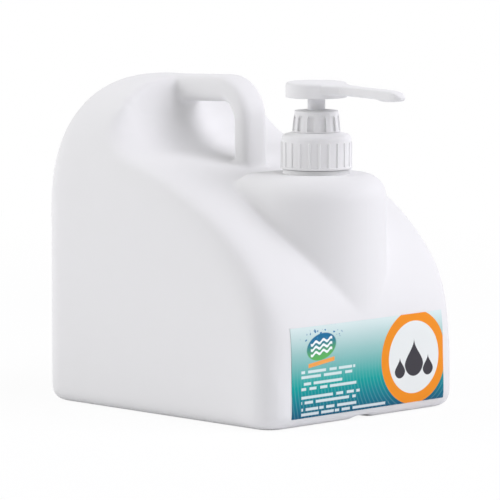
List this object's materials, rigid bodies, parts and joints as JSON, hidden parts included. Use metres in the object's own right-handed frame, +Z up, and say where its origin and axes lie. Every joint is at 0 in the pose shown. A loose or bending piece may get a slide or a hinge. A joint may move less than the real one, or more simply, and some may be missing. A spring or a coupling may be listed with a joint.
{
  "type": "hand soap pump bottle",
  "caption": "White blow-moulded hand soap tank with an arched back, moulded carrying handle, sloped labelled front and a screw-on lotion pump with a swivelling spring-return head.",
  "frame": {"origin": "on the standing surface, under the middle of the overall box", "axes": "+Z up, the spout and the label face -Y, the flat back faces +Y, +X to the right seen from the front"},
  "size_m": [0.168, 0.232, 0.2039],
  "materials": {
    "tank_plastic": "white blow-moulded polyethylene, soft satin",
    "pump_plastic": "white moulded polypropylene, half gloss",
    "inner_plastic": "natural moulded polypropylene",
    "gasket_foam": "pale sealing foam",
    "tube_plastic": "milky polyethylene tube",
    "label_film": "printed film, half gloss",
    "steel": "drawn stainless steel"
  },
  "bodies": {
    "tank": {"bottle": "tank_plastic", "front_label": "label_film"},
    "pump_body": {"pump_housing": "inner_plastic", "neck_gasket": "gasket_foam", "dip_tube": "tube_plastic", "lock_collar": "pump_plastic", "return_spring": "steel"},
    "closure_ring": {"closure": "pump_plastic"},
    "plunger": {"piston": "inner_plastic"},
    "head": {"stem": "pump_plastic", "actuator_head": "pump_plastic"},
    "inlet_valve": {"inlet_ball": "steel"},
    "outlet_valve": {"outlet_ball": "steel"}
  },
  "joints": [
    {"name": "pump_lift", "type": "slide", "parent": "tank", "child": "pump_body", "axis": [0, 0, 1], "range_m": [0, 0.00529]},
    {"name": "closure_turn", "type": "hinge", "parent": "pump_body", "child": "closure_ring", "pos_m": [0, -0.0425, 0.16], "axis": [0, 0, 1], "range_deg": [0, 450]},
    {"name": "pump_stroke", "type": "slide", "parent": "pump_body", "child": "plunger", "axis": [0, 0, 1], "range_m": [-0.0065, 0], "stiffness_N_per_m": 1200, "springref_m": 0.006, "deforming": ["return_spring"]},
    {"name": "head_swivel", "type": "hinge", "parent": "plunger", "child": "head", "pos_m": [0, -0.0425, 0.2], "axis": [0, 0, 1], "range_deg": [-160, 160]},
    {"name": "inlet_ball_lift", "type": "slide", "parent": "pump_body", "child": "inlet_valve", "axis": [0, 0, 1], "range_m": [0, 0.001]},
    {"name": "outlet_ball_lift", "type": "slide", "parent": "head", "child": "outlet_valve", "axis": [0, 0, 1], "range_m": [0, 0.002]}
  ],
  "couplings": [
    {"joint": "closure_turn", "follows": "pump_lift", "rad_per_m": 1484.2}
  ]
}
